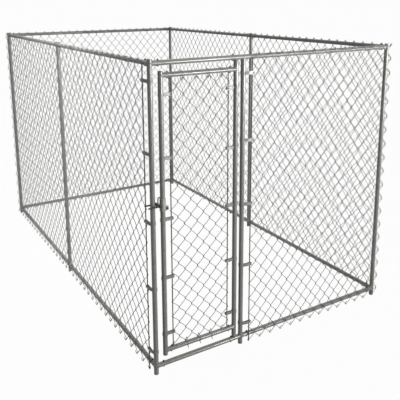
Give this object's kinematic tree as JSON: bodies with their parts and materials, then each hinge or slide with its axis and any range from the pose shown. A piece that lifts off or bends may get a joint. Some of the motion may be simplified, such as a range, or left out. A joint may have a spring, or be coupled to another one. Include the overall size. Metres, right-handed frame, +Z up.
{
  "type": "outdoor dog kennel run",
  "caption": "Rectangular walk-in dog run of bolted steel tube with chain-link walls, an open top, and a gate on pins with a fork latch.",
  "frame": {"origin": "centre of the whole run's outline, on the ground that the posts stand on", "axes": "+Z up, +Y from the front with the gate to the back, along the run's length, +X to the right as seen from the front"},
  "size_m": [1.8281, 3.0971, 1.8319],
  "materials": {
    "galvanised": "galvanised, satin",
    "wire": "galvanised wire",
    "band": "bright zinc",
    "dark_steel": "dark, satin",
    "nylon": "matte"
  },
  "bodies": {
    "frame": {"bar_front_left": "galvanised", "bar_hinge_post": "galvanised", "fabric_back": "wire", "fabric_front_panel": "wire", "fabric_left_front": "wire", "fabric_left_rear": "wire", "fabric_right_front": "wire", "fabric_right_rear": "wire", "frame_band_bolts": "band", "frame_bands": "band", "frame_joint_bolts": "dark_steel", "frame_nuts": "dark_steel", "frame_sleeves": "galvanised", "frame_ties": "wire", "hinge_pins": "galvanised", "hinge_tee": "galvanised", "post_back_left": "galvanised", "post_back_right": "galvanised", "post_front_left": "galvanised", "post_front_right": "galvanised", "post_hinge": "galvanised", "post_mid_left": "galvanised", "post_mid_right": "galvanised", "rail_back_bottom": "galvanised", "rail_back_top": "galvanised", "rail_front_panel_bottom": "galvanised", "rail_front_panel_top": "galvanised", "rail_gate_span_bottom": "galvanised", "rail_gate_span_top": "galvanised", "rail_left_front_bottom": "galvanised", "rail_left_front_top": "galvanised", "rail_left_rear_bottom": "galvanised", "rail_left_rear_top": "galvanised", "rail_right_front_bottom": "galvanised", "rail_right_front_top": "galvanised", "rail_right_rear_bottom": "galvanised", "rail_right_rear_top": "galvanised", "thrust_washer": "galvanised"},
    "gate": {"fabric_gate": "wire", "gate_band_bolts": "band", "gate_bands": "band", "gate_bars": "galvanised", "gate_bottom_rail": "galvanised", "gate_hinge_stile": "galvanised", "gate_joint_bolts": "dark_steel", "gate_latch_stile": "galvanised", "gate_nuts": "dark_steel", "gate_sleeves": "galvanised", "gate_ties": "wire", "gate_top_rail": "galvanised", "hinge_bushes": "nylon", "latch_clamp_bolt": "dark_steel", "latch_collar_front": "galvanised", "latch_collar_rear": "galvanised", "latch_nuts": "dark_steel", "latch_pivot_bolt": "dark_steel"},
    "latch_fork": {"latch_fork": "dark_steel"}
  },
  "joints": [
    {"name": "gate_swing", "type": "hinge", "parent": "frame", "child": "gate", "pos_m": [-0.33777, -1.51355, 0.9], "axis": [0, 0, 1], "range_deg": [0, 120]},
    {"name": "fork_lift", "type": "hinge", "parent": "gate", "child": "latch_fork", "pos_m": [-0.84777, -1.51355, 1.028], "axis": [0, 1, 0], "range_deg": [0, 95]}
  ]
}
